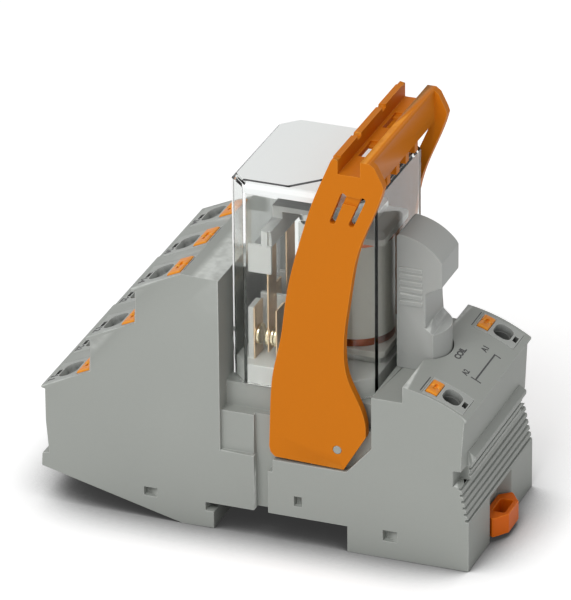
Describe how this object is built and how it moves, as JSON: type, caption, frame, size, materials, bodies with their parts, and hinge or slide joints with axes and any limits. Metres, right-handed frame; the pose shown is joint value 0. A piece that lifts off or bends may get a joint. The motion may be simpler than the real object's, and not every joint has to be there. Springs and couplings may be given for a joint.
{
  "type": "plug-in power relay in a terminal socket",
  "caption": "Rail-mounted relay socket with push-in terminals on a stair, a clear plug-in relay, a swinging orange retaining bracket and a plug-in indicator module.",
  "frame": {"origin": "centre of the socket's seat on the mounting rail", "axes": "+X towards the coil terminals, +Y along the rail away from the pictured wall, +Z away from the rail"},
  "size_m": [0.1125, 0.0466, 0.1028],
  "materials": {
    "housing_grey": "fine moulded texture",
    "terminal_grey": "fine moulded texture",
    "orange": "satin moulded plastic",
    "button_orange": "satin moulded plastic",
    "clear_cover": "clear moulded plastic",
    "label_white": "smooth printed film",
    "relay_white": "smooth moulded plastic",
    "spring_steel": "bright rolled strip",
    "tinned_copper": "tinned strip",
    "contact_bronze": "rolled bronze strip",
    "contact_silver": "domed silver alloy",
    "zinc_steel": "zinc plated",
    "enamelled_wire": "wound enamelled wire under film",
    "bobbin_white": "smooth moulded plastic",
    "board_green": "coated circuit board",
    "diode_black": "moulded",
    "lamp_green": "clear tinted plastic"
  },
  "bodies": {
    "socket": {"socket_housing": "housing_grey", "terminal_inserts_lower": "terminal_grey", "terminal_inserts_middle": "terminal_grey", "terminal_inserts_upper": "terminal_grey", "terminal_inserts_coil": "terminal_grey", "clamp_springs": "spring_steel", "current_bars": "tinned_copper", "blade_clips": "contact_bronze"},
    "latch": {"foot_latch": "orange"},
    "bracket": {"retaining_bracket": "orange"},
    "relay": {"relay_cover": "clear_cover", "relay_label": "label_white", "relay_base": "relay_white", "relay_blades": "tinned_copper", "fixed_leaves": "contact_bronze", "open_contacts": "contact_silver", "closed_contacts": "contact_silver", "yoke": "zinc_steel", "iron_core": "zinc_steel", "coil_bobbin": "bobbin_white", "coil_winding": "enamelled_wire", "return_spring": "spring_steel"},
    "contact_drive": {"armature": "zinc_steel", "contact_carrier": "relay_white", "moving_leaves": "contact_bronze", "moving_contacts": "contact_silver"},
    "module": {"module_case": "housing_grey", "module_base": "housing_grey", "module_pins": "tinned_copper", "module_board": "board_green", "module_diode": "diode_black", "module_lamp": "lamp_green"},
    "press_11": {"button_11": "button_orange"},
    "press_21": {"button_21": "button_orange"},
    "press_31": {"button_31": "button_orange"},
    "press_12": {"button_12": "button_orange"},
    "press_22": {"button_22": "button_orange"},
    "press_32": {"button_32": "button_orange"},
    "press_14": {"button_14": "button_orange"},
    "press_24": {"button_24": "button_orange"},
    "press_34": {"button_34": "button_orange"},
    "press_a2": {"button_a2": "button_orange"},
    "press_a1": {"button_a1": "button_orange"}
  },
  "joints": [
    {"name": "bracket_swing", "type": "hinge", "parent": "socket", "child": "bracket", "pos_m": [0.0156, 0, 0.01995], "axis": [0, 1, 0], "range_deg": [0, 10]},
    {"name": "relay_lift", "type": "slide", "parent": "socket", "child": "relay", "axis": [0, 0, 1], "range_m": [0, 0.00265]},
    {"name": "contact_swing", "type": "hinge", "parent": "relay", "child": "contact_drive", "pos_m": [0.002, 0, 0.07065], "axis": [0, 1, 0], "range_deg": [0, 2.6], "stiffness_Nm_per_rad": 0.3, "springref_deg": -3.44},
    {"name": "module_pull", "type": "slide", "parent": "socket", "child": "module", "axis": [0, 0, 1], "range_m": [0, 0.008]},
    {"name": "latch_slide", "type": "slide", "parent": "socket", "child": "latch", "axis": [1, 0, 0], "range_m": [0, 0.003], "stiffness_N_per_m": 400},
    {"name": "button_press_11", "type": "slide", "parent": "socket", "child": "press_11", "axis": [0.4133, 0, -0.9106], "range_m": [0, 0.0012], "stiffness_N_per_m": 800, "springref_m": -0.0005},
    {"name": "button_press_21", "type": "slide", "parent": "socket", "child": "press_21", "axis": [0.4133, 0, -0.9106], "range_m": [0, 0.0012], "stiffness_N_per_m": 800, "springref_m": -0.0005},
    {"name": "button_press_31", "type": "slide", "parent": "socket", "child": "press_31", "axis": [0.4133, 0, -0.9106], "range_m": [0, 0.0012], "stiffness_N_per_m": 800, "springref_m": -0.0005},
    {"name": "button_press_12", "type": "slide", "parent": "socket", "child": "press_12", "axis": [0.4133, 0, -0.9106], "range_m": [0, 0.0012], "stiffness_N_per_m": 800, "springref_m": -0.0005},
    {"name": "button_press_22", "type": "slide", "parent": "socket", "child": "press_22", "axis": [0.4133, 0, -0.9106], "range_m": [0, 0.0012], "stiffness_N_per_m": 800, "springref_m": -0.0005},
    {"name": "button_press_32", "type": "slide", "parent": "socket", "child": "press_32", "axis": [0.4133, 0, -0.9106], "range_m": [0, 0.0012], "stiffness_N_per_m": 800, "springref_m": -0.0005},
    {"name": "button_press_14", "type": "slide", "parent": "socket", "child": "press_14", "axis": [0.4133, 0, -0.9106], "range_m": [0, 0.0012], "stiffness_N_per_m": 800, "springref_m": -0.0005},
    {"name": "button_press_24", "type": "slide", "parent": "socket", "child": "press_24", "axis": [0.4133, 0, -0.9106], "range_m": [0, 0.0012], "stiffness_N_per_m": 800, "springref_m": -0.0005},
    {"name": "button_press_34", "type": "slide", "parent": "socket", "child": "press_34", "axis": [0.4133, 0, -0.9106], "range_m": [0, 0.0012], "stiffness_N_per_m": 800, "springref_m": -0.0005},
    {"name": "button_press_a2", "type": "slide", "parent": "socket", "child": "press_a2", "axis": [-0.3524, 0, -0.9359], "range_m": [0, 0.0012], "stiffness_N_per_m": 800, "springref_m": -0.0005},
    {"name": "button_press_a1", "type": "slide", "parent": "socket", "child": "press_a1", "axis": [-0.3524, 0, -0.9359], "range_m": [0, 0.0012], "stiffness_N_per_m": 800, "springref_m": -0.0005}
  ],
  "couplings": [
    {"joint": "bracket_swing", "follows": "relay_lift", "rad_per_m": 65.789}
  ]
}
